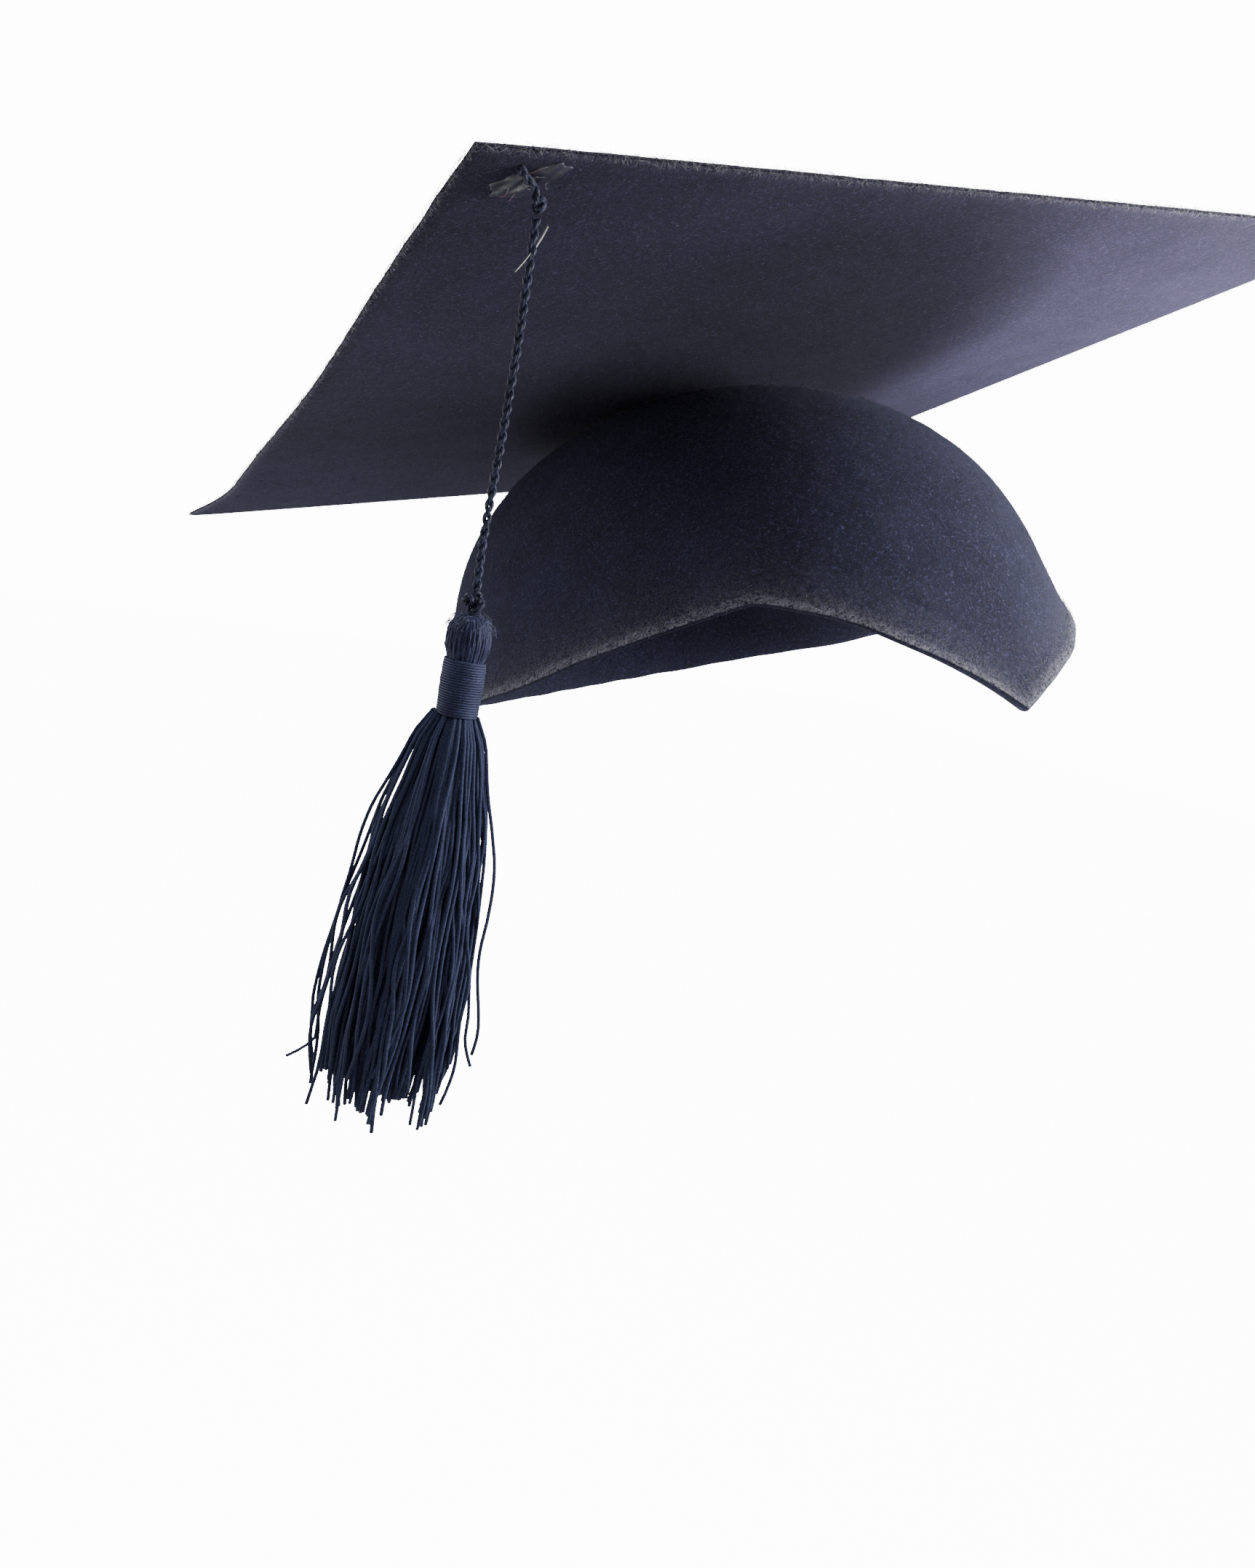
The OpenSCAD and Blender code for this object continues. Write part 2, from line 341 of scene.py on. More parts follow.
BOARD_FELT_LOOK = felt_material(
    "board_felt", (0.016, 0.0135, 0.034), (0.025, 0.0208, 0.050), (0.068, 0.062, 0.085))
CAP_FELT_LOOK = felt_material(
    "moulded_felt", (0.019, 0.0192, 0.045), (0.032, 0.0325, 0.073), (0.25, 0.25, 0.29), 1.3)
FUZZ_LOOK = hair_material("felt_hair", (0.050, 0.050, 0.074))
EDGE_FUZZ_LOOK = hair_material("felt_edge_hair", (0.13, 0.13, 0.15))
CORD_LOOK = thread_material("cord", (0.009, 0.010, 0.023), (0.020, 0.022, 0.047), 0.45, 0.06)
THREAD_LOOK = thread_material("tassel_thread", (0.017, 0.0215, 0.050), (0.023, 0.0285, 0.064), 0.85, 0.02)
HEAD_LOOK = thread_material("tassel_head_thread", (0.012, 0.014, 0.038), (0.024, 0.028, 0.068), 0.62, 0.05)
FRIZZ_LOOK = hair_material("tassel_frizz", (0.085, 0.095, 0.15))
GLUE_LOOK = glue_material()
STRING_LOOK = milky_material("glue_string", (0.12, 0.12, 0.15), 0.35)
PIN_LOOK = milky_material("plastic_filament", (0.17, 0.17, 0.17), 0.3)
CARD_LOOK = card_material()


# ---------------------------------------------------------------- mesh helpers

def new_piece(name, points, faces, look, body, slot, wear=None):
    mesh = bpy.data.meshes.new(name)
    mesh.from_pydata([tuple(map(float, p)) for p in points], [], [tuple(map(int, f)) for f in faces])
    mesh.validate()
    mesh.polygons.foreach_set("use_smooth", [True] * len(mesh.polygons))
    if wear is not None:
        layer = mesh.attributes.new("wear", "FLOAT", "POINT")
        layer.data.foreach_set("value", np.asarray(wear, np.float32))
    mesh.materials.append(look)
    mesh.update()
    piece = bpy.data.objects.new(name, mesh)
    bpy.context.collection.objects.link(piece)
    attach(piece, body)
    return piece


def grid_faces(rows, columns, start=0):
    """Quads between consecutive closed rows of points."""
    faces = []
    for j in range(rows - 1):
        for i in range(columns):
            n = (i + 1) % columns
            a = start + j * columns
            b = a + columns
            faces.append((a + i, a + n, b + n, b + i))
    return faces


def path_frames(path):
    """Unit tangent and two unit normals along a path, turned as little as possible."""
    tangents = np.gradient(path, axis=0)
    tangents /= np.linalg.norm(tangents, axis=1)[:, None] + 1e-12
    side = np.cross(tangents[0], (0.31, 0.87, 0.12))
    side /= np.linalg.norm(side)
    sides = []
    for t in tangents:
        side = side - t * (side @ t)
        side /= np.linalg.norm(side) + 1e-12
        sides.append(side)
    sides = np.array(sides)
    return tangents, sides, np.cross(tangents, sides)


def tubes(paths, radii, sides=5, flat=1.0):
    """Points and faces of a closed tube along each path; radii holds one radius, or one list, each."""
    points = []
    faces = []
    angles = np.arange(sides) * 2 * math.pi / sides
    for path, radius in zip(paths, radii):
        path = np.asarray(path, float)
        radius = np.broadcast_to(radius, len(path))
        _, across, up = path_frames(path)
        ring = (np.cos(angles)[None, :, None] * across[:, None, :]
                + flat * np.sin(angles)[None, :, None] * up[:, None, :])
        start = len(points)
        points.extend((path[:, None, :] + radius[:, None, None] * ring).reshape(-1, 3))
        faces.extend(grid_faces(len(path), sides, start))
        faces.append(tuple(start + k for k in range(sides))[::-1])
        last = start + (len(path) - 1) * sides
        faces.append(tuple(last + k for k in range(sides)))
    return points, faces


def resample(path, count):
    """The same line with the given number of evenly spaced points."""
    path = np.asarray(path, float)
    steps = np.linalg.norm(np.diff(path, axis=0), axis=1)
    along = np.concatenate([[0], np.cumsum(steps)])
    places = np.linspace(0, along[-1], count)
    return np.stack([np.interp(places, along, path[:, k]) for k in range(3)], axis=1)


def ply_paths(path, plies, offset, pitch):
    """Lines that wind round a path, as the plies of a twisted cord."""
    path = np.asarray(path, float)
    _, across, up = path_frames(path)
    along = np.concatenate([[0], np.cumsum(np.linalg.norm(np.diff(path, axis=0), axis=1))])
    out = []
    for k in range(plies):
        angle = 2 * math.pi * (along / pitch + k / plies)
        out.append(path + offset * (np.cos(angle)[:, None] * across + np.sin(angle)[:, None] * up))
    return out


def fibres(points, normals, lengths, lift, radius, seed):
    """Short bent hairs that lie along a surface and rise a little from it."""
    rng = np.random.default_rng(seed)
    count = len(points)
    along = np.cross(normals, rng.normal(0, 1, (count, 3)))
    along /= np.linalg.norm(along, axis=1)[:, None]
    aside = np.cross(normals, along)
    bend = rng.normal(0, 0.25, count)
    paths = []
    for share in np.linspace(0, 1, 4):
        run = lengths * (share - 0.5)
        sway = lengths * bend * share ** 2
        rise = lengths * lift * (0.15 + math.sin(math.pi * (0.15 + 0.6 * share)))
        paths.append(points + along * run[:, None] + aside * sway[:, None] + normals * rise[:, None])
    paths = np.stack(paths, axis=1)
    ring = []
    for k in range(3):
        turn = 2 * math.pi * k / 3
        ring.append(math.cos(turn) * aside + math.sin(turn) * normals)
    ring = np.stack(ring, axis=1)
    thick = radius * np.array([1, 1, 0.8, 0.4])
    tube = paths[:, :, None, :] + thick[None, :, None, None] * ring[:, None, :, :]
    wall = [(j * 3 + k, j * 3 + (k + 1) % 3, j * 3 + 3 + (k + 1) % 3, j * 3 + 3 + k)
            for j in range(3) for k in range(3)]
    wall += [(2, 1, 0), (9, 10, 11)]
    faces = [tuple(12 * i + v for v in f) for i in range(count) for f in wall]
    return tube.reshape(-1, 3), faces


# Length of one turn of the cord's plies, and how many yarns each of its two plies has
CORD_PITCH = 4.2 * MM
PLY_YARNS = 4


def twisted(path, diameter):
    """A two-ply cord whose plies are themselves made of a few yarns."""
    yarns = []
    for ply in ply_paths(path, 2, diameter * 0.25, CORD_PITCH):
        yarns.extend(ply_paths(ply, PLY_YARNS, diameter * 0.125, -CORD_PITCH * 0.9))
    return tubes(yarns, [diameter * 0.135] * len(yarns), 6)


# ---------------------------------------------------------------- the cord

# The cord's sideways wander and its share of the drop, as in the part's source
CORD_WANDER = [
    (0, 0, 0), (0.1, 0, 0.08), (0.2, 0.1, 0.16), (0.3, 0.1, 0.25), (0.3, 0, 0.34),
    (0.2, -0.1, 0.43), (0.1, -0.2, 0.52), (0, -0.2, 0.61), (-0.1, -0.1, 0.7),
    (-0.2, 0, 0.79), (-0.2, 0.1, 0.87), (-0.1, 0.1, 0.94), (0, 0, 1),
]


# The free cord is drawn this much wider than its nominal thickness: two plies are narrower edge on
CORD_FULLNESS = 1.15


def make_cord():
    top = top_of("tassel_cord")
    foot = foot_of("tassel_cord")
    route = [(HANG[0] + x * MM, HANG[1] + y * MM, top + (foot - top) * share) for x, y, share in CORD_WANDER]
    line = resample(route, 240)
    points, faces = twisted(line, CORD_FULLNESS * CORD_D)
    cord = new_piece("twisted_cord", points, faces, CORD_LOOK, "cord", "cord")
    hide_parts("tassel_cord")


make_cord()


# ---------------------------------------------------------------- the board

# The rear corner is blunt: the radius of its tip, and how far it is drawn out and lifted
TIP_ROUND = 2.6 * MM
TIP_DRAW = 12.4 * MM
TIP_LIFT = 1.8 * MM
# How much of the diagonal that bend takes up
TIP_REACH = 30 * MM
# The sag of the edge beside it: how deep, how fast it fades away from the edge, and its place
# and length as shares of the half diagonal, counted from the tip
SAG = 2.2 * MM
SAG_REACH = 70 * MM
SAG_PLACE = 0.58
SAG_LENGTH = 0.22
# Share of the half side past which a point of a sheet lies on its cut edge
CUT_EDGE = 0.995


def warp_board(points):
    """Bends the flat board: its rear corner is drawn out and curls, and the edge beside it sags."""
    points = np.array(points, float)
    to_left = points @ LEFT_CORNER
    to_right = points @ RIGHT_CORNER
    from_tip = HALF_DIAGONAL + to_left
    tip = np.clip(1 - from_tip / TIP_REACH, 0, 1) ** 2
    near_edge = np.exp(-np.clip(HALF_DIAGONAL - to_right + to_left, 0, None) / SAG_REACH)
    along = (HALF_DIAGONAL + to_left) / HALF_DIAGONAL
    sag = SAG * np.exp(-((along - SAG_PLACE) / SAG_LENGTH) ** 2) * near_edge
    blunt = np.hypot(from_tip, TIP_ROUND) - from_tip
    points += (blunt - TIP_DRAW * tip)[:, None] * LEFT_CORNER
    points[:, 2] += TIP_LIFT * tip - sag
    return points


def slab(side, low, high, cells, ragged, seed):
    """A square sheet with thinned, slightly ragged cut edges, in the cap's frame before warping."""
    ticks = np.linspace(-1, 1, cells + 1)
    ticks = np.sign(ticks) * (1 - (1 - np.abs(ticks)) ** 1.15)
    u, v = np.meshgrid(ticks, ticks, indexing="ij")
    flat = np.stack([u.ravel(), v.ravel()], axis=1)
    edge = np.max(np.abs(flat), axis=1)
    rng = np.random.default_rng(seed)
    wobble = np.interp(np.arctan2(flat[:, 1], flat[:, 0]), np.linspace(-math.pi, math.pi, 721),
                       np.convolve(rng.normal(0, 1, 723), [0.25, 0.5, 0.25], "valid"))
    flat = flat * (side / 2 + ragged * wobble[:, None] * (edge[:, None] > CUT_EDGE))
    placed = flat @ SQUARE_TURN
    thickness = high - low
    sheets = []
    for z, sign in ((low, 1), (high, -1)):
        lift = np.where(edge > CUT_EDGE, 0.28 * thickness * sign, 0)
        sheets.append(np.column_stack([placed, z + lift]))
    count = cells + 1
    size = count * count
    faces = []
    for i in range(cells):
        for j in range(cells):
            a = i * count + j
            quad = (a, a + 1, a + 1 + count, a + count)
            faces.append(quad)
            faces.append(tuple(size + k for k in quad[::-1]))
    rim = (list(range(cells)) + [i * count + cells for i in range(cells)]
           + [cells * count + j for j in range(cells, 0, -1)] + [i * count for i in range(cells, 0, -1)])
    for a, b in zip(rim, rim[1:] + rim[:1]):
        faces.append((b, a, size + a, size + b))
    return np.vstack(sheets), faces, np.tile(edge, 2)


# Width of the strip beside the cut edge where the felts are pressed together
PINCH_WIDTH = 2.6 * MM
FELT_CELLS = 140
CARD_CELLS = 60


def make_board():
    card_top = BOARD_FELT + CARD
    points, faces, _ = slab(BOARD_SIDE - 2 * CARD_INSET, BOARD_FELT, card_top, CARD_CELLS, 0, 1)
    card = new_piece("card_stiffener", on_cap(warp_board(points)), faces, CARD_LOOK, "cap", "card")
    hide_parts("board_card")
    layers = [
        ("underside_felt", 0, BOARD_FELT, "board_underside_felt", 3),
        ("top_felt", card_top, 2 * BOARD_FELT + CARD, "board_top_felt", 4),
    ]
    for name, low, high, node, seed in layers:
        points, faces, edge = slab(BOARD_SIDE, low, high, FELT_CELLS, 0.10 * MM, seed)
        wavy = 0.12 * MM * smooth_noise(points, 9 * MM, seed)
        outward = -1 if low == 0 else 1
        points[:, 2] += outward * np.abs(wavy) * (edge < 0.99) * 0.6
        distance = (1 - edge) * BOARD_SIDE / 2
        # The two felts are pressed together where the card stops short of the edge
        pinch = np.clip(1 - distance / PINCH_WIDTH, 0, 1)
        points[:, 2] -= outward * 0.49 * CARD * pinch ** 2 * (3 - 2 * pinch)
        wear = 0.75 * np.exp(-distance / (0.7 * MM)) + 0.06 * np.exp(-distance / (8 * MM))
        felt = new_piece(name, on_cap(warp_board(points)), faces, BOARD_FELT_LOOK, "cap", "board_felt", wear)
        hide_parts(node)


# How many hairs lie on the faces of the board, and how many stand along its cut edges
FACE_HAIRS = 9000
EDGE_HAIRS = 5200


def make_board_fuzz():
    """Loose hairs on both faces of the board, and a fringe of them along its cut edges."""
    rng = np.random.default_rng(31)
    half = BOARD_SIDE / 2
    thickness = CARD + 2 * BOARD_FELT
    count = FACE_HAIRS
    flat = rng.uniform(-CUT_EDGE, CUT_EDGE, (count, 2)) * half
    below = rng.random(count) < 0.5
    points = np.column_stack([flat @ SQUARE_TURN, np.where(below, -0.03 * MM, thickness + 0.03 * MM)])
    normals = np.column_stack([np.zeros((count, 2)), np.where(below, -1.0, 1.0)])
    lengths = rng.uniform(0.8, 2.2, count) * MM
    hairs, faces = fibres(warp_board(points), normals, lengths, 0.10, 0.030 * MM, 32)
    new_piece("board_hairs", on_cap(hairs), faces, FUZZ_LOOK, "cap", "board_felt")
    count = EDGE_HAIRS
    place = rng.uniform(-1, 1, count) * half
    out = half + rng.uniform(-0.3, 0.15, count) * MM
    side = rng.integers(0, 4, count)
    x = np.choose(side, [place, place, out, -out])
    y = np.choose(side, [out, -out, place, place])
    nx = np.choose(side, [0.0 * x, 0.0 * x, 1.0 + 0 * x, -1.0 + 0 * x])
    ny = np.choose(side, [1.0 + 0 * x, -1.0 + 0 * x, 0.0 * x, 0.0 * x])
    low = rng.random(count) < 0.5
    z = thickness / 2 + np.where(low, -1, 1) * rng.uniform(0, 1, count) * BOARD_FELT
    points = np.column_stack([np.stack([x, y], 1) @ SQUARE_TURN, z])
    normals = np.column_stack([np.stack([nx, ny], 1) @ SQUARE_TURN, np.where(low, -0.5, 0.5)])
    normals /= np.linalg.norm(normals, axis=1)[:, None]
    lengths = rng.uniform(0.7, 1.9, count) * MM
    hairs, faces = fibres(warp_board(points), normals, lengths, 0.22, 0.032 * MM, 33)
    new_piece("edge_hairs", on_cap(hairs), faces, EDGE_FUZZ_LOOK, "cap", "board_felt")


make_board()
make_board_fuzz()


# ---------------------------------------------------------------- the skullcap

def rim_depth(a):
    """Depth of the rim at angles in degrees from the peak, positive towards the wearer's right."""
    t = (np.asarray(a, float) + 180) % 360 - 180
    reach = np.where(t < 0, PEAK_REACH_LEFT, PEAK_REACH_RIGHT)
    peak = np.clip(1 - np.abs(t) / reach, 0, None) ** PEAK_CURVE
    rise = np.clip((np.abs(t) - PEAK_REACH_RIGHT) / NAPE_REACH, 0, 1)
    nape = np.sin(np.pi / 2 * rise) ** NAPE_CURVE
    return ARCH_DEPTH + (PEAK_DEPTH - ARCH_DEPTH) * peak + (NAPE_DEPTH - ARCH_DEPTH) * nape


def dome_share(depth, full_depth):
    h = np.clip(1 - depth / full_depth, 0, 1)
    return (1 - h ** DOME_FULLNESS) ** (1 / DOME_ROUNDNESS)


# How far the felt springs outwards at the right rear, over what height, and round what angles
REAR_SPRING = 4.0 * MM
REAR_SPRING_HEIGHT = 20 * MM
REAR_SPRING_ANGLE = 122
REAR_SPRING_REACH = 42


def dome_points(a, depth, inset):
    """Points on the dome set in by inset, at angles from the peak and depths below the board."""
    a, depth = np.broadcast_arrays(np.asarray(a, float), np.asarray(depth, float))
    share = dome_share(np.clip(depth - inset, 0, None), DOME_DEPTH - inset)
    turn = np.radians(a)
    lip = PEAK_LIP + (NAPE_LIP - PEAK_LIP) * (1 - np.cos(turn)) / 2
    above = depth - rim_depth(a)
    from_rear = (a % 360 - REAR_SPRING_ANGLE) / REAR_SPRING_REACH
    spring = REAR_SPRING * np.exp(-from_rear ** 2) * np.exp(above / REAR_SPRING_HEIGHT)
    flare = lip * np.exp(above / LIP_HEIGHT) + spring
    half_width = (CAP_WIDTH / 2 - inset) * share + flare
    half_length = (CAP_LENGTH / 2 - inset) * share + flare
    forward = DOME_FORWARD * depth / DOME_DEPTH
    across = -CROWN_RIGHT - half_width * np.sin(turn)
    return np.stack([across, CROWN_BACK - forward - half_length * np.cos(turn), -depth], axis=-1)


SEGMENTS = 240
RINGS = 90
# The cut edge of the rim: how far it rounds below the wall, and in how many steps
EDGE_DROP = 0.8 * MM
EDGE_STEPS = 6
# The moulded wall is smooth down to this depth, and as uneven as it gets this much lower
SMOOTH_DEPTH = 4 * MM
UNEVEN_OVER = 14 * MM


def wall_depth(top, rim, share):
    """Depth at a share of the way from top to the cut edge; even shares crowd together near the top."""
    return top + (rim - EDGE_DROP - top) * share * (0.4 + 0.6 * share)


def make_skullcap():
    angles = np.arange(SEGMENTS) * 360 / SEGMENTS
    circle = np.stack([np.cos(np.radians(angles)), np.sin(np.radians(angles)), 0 * angles], 1)
    wobble = smooth_noise(circle, 0.13, 9)
    rim = rim_depth(angles) + 0.5 * MM * wobble
    rows = []
    wear = []
    for j in range(RINGS + 1):
        depth = wall_depth(CROWN_GLUE, rim, j / RINGS)
        rows.append(dome_points(angles, depth, 0))
        above = rim - depth
        wear.append(0.60 * np.exp(-((above - 1.2 * MM) / (1.3 * MM)) ** 2) + 0.22 * np.exp(-above / (7 * MM)))
    # The cut edge: a rounded band from the outer face to the inner one
    for k in range(1, EDGE_STEPS):
        turn = math.pi * k / EDGE_STEPS
        inset = CAP_FELT * (1 - math.cos(turn)) / 2
        rows.append(dome_points(angles, rim - EDGE_DROP + EDGE_DROP * math.sin(turn), inset))
        wear.append(np.full(SEGMENTS, 0.0))
    for j in range(RINGS // 2, -1, -1):
        depth = wall_depth(CROWN_GLUE + CAP_FELT, rim, j / (RINGS // 2))
        rows.append(dome_points(angles, depth, CAP_FELT))
        wear.append(np.full(SEGMENTS, 0.03))
    points = np.concatenate(rows)
    outer = (RINGS + 1) * SEGMENTS
    centre = np.array([-CROWN_RIGHT, CROWN_BACK - DOME_FORWARD / 2, -45 * MM])
    outward = points - centre
    outward /= np.linalg.norm(outward, axis=1)[:, None]
    lumps = 0.45 * MM * smooth_noise(points, 30 * MM, 2) + 0.16 * MM * smooth_noise(points, 5 * MM, 5)
    calm = np.clip((-points[:, 2] - SMOOTH_DEPTH) / UNEVEN_OVER, 0, 1)
    points = points + outward * (lumps * calm)[:, None]
    # Creases pressed into the felt above the rim on both sides of the peak
    for low, high, above, deep in ((3, 21, 10.5 * MM, 0.55 * MM), (-20, -8, 6 * MM, 0.5 * MM)):
        a = (np.tile(angles, len(rows)) + 180) % 360 - 180
        height = np.tile(rim, len(rows)) + points[:, 2]
        fade = np.clip((a - low) / 4, 0, 1) * np.clip((high - a) / 4, 0, 1)
        line = above + 1.2 * MM * np.sin(np.radians(a * 9))
        dent = deep * fade * np.exp(-((height - line) / (0.7 * MM)) ** 2)
        dent[outer:] = 0
        points = points - outward * dent[:, None]
    faces = [f[::-1] for f in grid_faces(len(rows), SEGMENTS)]
    faces.append(tuple(range(SEGMENTS)))
    last = (len(rows) - 1) * SEGMENTS
    faces.append(tuple(last + i for i in range(SEGMENTS))[::-1])
    wear = np.concatenate(wear)
    cap = new_piece("felt_skullcap", on_cap(points), faces, CAP_FELT_LOOK, "cap", "moulded_felt", wear)
    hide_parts("skullcap")
    outer_shape = (RINGS + 1, SEGMENTS, 3)
    make_cap_fuzz(points[:outer].reshape(outer_shape), outward[:outer].reshape(outer_shape))


def make_cap_fuzz(wall, outward):
    """Hairs over the outside of the skullcap, and paler ones rubbed up along its rim."""
    rng = np.random.default_rng(41)
    for name, count, low, look, lift, seed in (
        ("cap_hairs", 11000, 8, FUZZ_LOOK, 0.10, 42),
        ("rim_hairs", 4200, RINGS - 3, EDGE_FUZZ_LOOK, 0.12, 43),
    ):
        row = rng.integers(low, RINGS, count)
        column = rng.integers(0, SEGMENTS, count)
        share = rng.random((count, 1))
        across = rng.random((count, 1))
        next_column = (column + 1) % SEGMENTS
        upper = wall[row, column] * (1 - across) + wall[row, next_column] * across
        lower = wall[row + 1, column] * (1 - across) + wall[row + 1, next_column] * across
        points = upper * (1 - share) + lower * share
        normals = outward[row, column]
        lengths = rng.uniform(0.8, 2.0, count) * MM
        hairs, faces = fibres(points, normals, lengths, lift, 0.030 * MM, seed)
        new_piece(name, on_cap(hairs), faces, look, "cap", "moulded_felt")


make_skullcap()


# ---------------------------------------------------------------- glue and tag pin

GLUE_STRINGS = 6
# Points along each string
STRING_POINTS = 9


def make_corner_glue():
    """A smeared dab: low lumps with an uneven outline, and fine strings drawn out of it."""
    rings = 14
    around = 72
    angles = np.arange(around) * 2 * math.pi / around
    outline = 1 + 0.14 * np.sin(2 * angles + 2.2) + 0.12 * np.sin(3 * angles + 2) + 0.07 * np.sin(7 * angles)
    outline += 0.05 * np.sin(13 * angles + 1)
    rows = []
    for side in (1, 0):
        order = range(rings + 1) if side else range(rings, -1, -1)
        for j in order:
            s = max(j / rings, 0.03)
            x = 5.8 * MM * s * outline * np.cos(angles)
            y = 3.6 * MM * s * outline * np.sin(angles)
            ridges = np.sin(x / (1.3 * MM) + 2 * np.sin(y / (1.1 * MM)))
            ridges *= np.cos(y / (0.8 * MM) + x / (2.3 * MM))
            swell = (1 - s ** 3) * (0.50 + 0.38 * ridges)
            z = -side * (0.06 * MM + (GLUE_DAB - 0.3 * MM) * np.clip(swell, 0, 1))
            rows.append(np.stack([x, y, z], axis=1))
    points = np.concatenate(rows)
    turn = np.eye(3)
    turn[:2, :2] = flat_turn(BOARD_TURN - math.pi / 2)
    place = RIGHT_CORNER * (HALF_DIAGONAL - HANG_INSET + 1 * MM) + LEFT_CORNER * 2.5 * MM
    faces = [f[::-1] for f in grid_faces(len(rows), around)]
    faces.append(tuple(range(around)))
    faces.append(tuple((len(rows) - 1) * around + i for i in range(around))[::-1])
    dab = new_piece("glue_dab", on_cap(points @ turn + place), faces, GLUE_LOOK, "cap", "hot_glue")
    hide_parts("corner_glue")
    rng = np.random.default_rng(11)
    paths = []
    radii = []
    for _ in range(GLUE_STRINGS):
        angle = rng.uniform(0, 2 * math.pi)
        start = np.array([5.2 * math.cos(angle), 3.2 * math.sin(angle), -0.5]) * MM * rng.uniform(0.4, 1.0)
        heading = angle + rng.normal(0, 1.2)
        length = rng.uniform(1.5, 4) * MM
        bend = rng.normal(0, 0.35)
        line = []
        for share in np.linspace(0, 1, STRING_POINTS):
            direction = heading + bend * 6 * share
            line.append(start + share * length * np.array([math.cos(direction), math.sin(direction), 0])
                        + np.array([0, 0, -0.5 * MM * math.sin(math.pi * share)]))
        paths.append(on_cap(np.array(line) @ turn + place))
        radii.append(np.linspace(0.06, 0.02, STRING_POINTS) * MM)
    strings, string_faces = tubes(paths, radii, 5)
    new_piece("glue_strings", strings, string_faces, STRING_LOOK, "cap", "hot_glue")


def make_tag_pin():
    """The filament of a swing tag, stouter at its cut upper end, threaded through the cord."""
    low, high = (np.array(c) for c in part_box("tag_pin"))
    centre = (low + high) / 2
    reach = (high - low) / 2
    places = np.linspace(-0.97, 0.97, 24)
    bow = np.array([0.3, -0.2, 0]) * MM
    line = [centre + reach * place + bow * (1 - place ** 2) for place in places]
    radius = np.where(places > 0.1, 0.20, 0.10) * MM
    points, faces = tubes([line], [radius], 10)
    pin = new_piece("tag_filament", points, faces, PIN_LOOK, "cord", "plastic_filament")
    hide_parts("tag_pin")


make_corner_glue()
make_tag_pin()


# ---------------------------------------------------------------- knots and tassel

def knot_line(centre, size, tilt, stretch=1.0):
    """An overhand knot's closed line, tucked into a ball of the given diameter."""
    t = np.linspace(0, 2 * math.pi, 121)
    shape = np.stack([
        np.sin(t) + 2 * np.sin(2 * t),
        np.cos(t) - 2 * np.cos(2 * t),
        -1.4 * np.sin(3 * t),
    ], axis=1)
    shape *= (size - CORD_D) / 2 / 3
    turn = np.array(Matrix.Rotation(tilt, 3, "X"))
    shape = shape @ turn.T
    shape[:, 2] *= stretch
    return centre + shape


def make_cord_tail():
    """The stretch of cord above the knot, laid up against the felt and held in the glue."""
    end = RIGHT_CORNER * (HALF_DIAGONAL - HANG_INSET + 4.5 * MM) + LEFT_CORNER * 3.5 * MM
    on_felt = on_cap([end - np.array([0, 0, 0.9 * MM])])[0]
    inside = on_cap([end + RIGHT_CORNER * 1.6 * MM - np.array([0, 0, 0.3 * MM])])[0]
    bow = np.array([0, 0, 0.8 * MM])
    line = resample([HANG, HANG * 0.55 + on_felt * 0.45 + bow, on_felt, inside], 40)
    points, faces = twisted(line, 1.1 * CORD_D)
    new_piece("cord_tail", points, faces, CORD_LOOK, "cap", "cord")


def make_frizz():
    """Broken filaments that stand out of the fold of the head, where the knot pulls on it."""
    rng = np.random.default_rng(51)
    count = 260
    around = rng.uniform(0, 2 * math.pi, count)
    z = HEAD_TOP - rng.uniform(0.05, 2.6, count) * MM
    radius = head_radius(z)
    out = np.stack([np.cos(around), np.sin(around), 0.8 + 0 * around], axis=1)
    out /= np.linalg.norm(out, axis=1)[:, None]
    points = np.stack([NOD[0] + radius * np.cos(around), NOD[1] + radius * np.sin(around), z], axis=1)
    hairs, faces = fibres(points, out, rng.uniform(0.8, 2.0, count) * MM, 0.35, 0.035 * MM, 52)
    new_piece("tassel_frizz", hairs, faces, FRIZZ_LOOK, "tassel", "tassel_thread")


# Diameters of the balls that the two knots are tucked into
TOP_KNOT_D = 3.3 * MM
TASSEL_KNOT_D = 4.5 * MM


def make_knots():
    top = twisted(knot_line(HANG, TOP_KNOT_D, 1.2), CORD_D * 0.85)
    knot = new_piece("top_knot", *top, CORD_LOOK, "hanger", "cord")
    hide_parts("cord_top_knot")
    low = twisted(knot_line(NOD, TASSEL_KNOT_D, 0.4, 1.3), CORD_D * 0.95)
    knot = new_piece("tassel_top_knot", *low, CORD_LOOK, "tassel_top", "cord")
    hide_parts("tassel_knot")


HEAD_TOP = top_of("tassel_head")
NECK_TOP = top_of("tassel_binding")
SKIRT_TOP = top_of("tassel_skirt")
SKIRT_FOOT = foot_of("tassel_skirt")
BINDING_R = (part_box("tassel_binding")[1][0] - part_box("tassel_binding")[0][0]) / 2
HEAD_R = (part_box("tassel_head")[1][0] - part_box("tassel_head")[0][0]) / 2
SKIRT_R = (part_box("tassel_skirt")[1][0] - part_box("tassel_skirt")[0][0]) / 2
NECK_R = BINDING_R - 0.5 * MM


def head_radius(z):
    """Radius of the folded head at height z, from the fold down to the neck."""
    share = np.clip((HEAD_TOP - z) / (HEAD_TOP - NECK_TOP), 0, 1)
    shares = [0, 0.06, 0.2, 0.4, 0.6, 0.85, 1]
    widths = [0.15, 0.62, 0.90, 1.0, 1, 0.97, NECK_R / HEAD_R]
    return HEAD_R * np.interp(share, shares, widths)


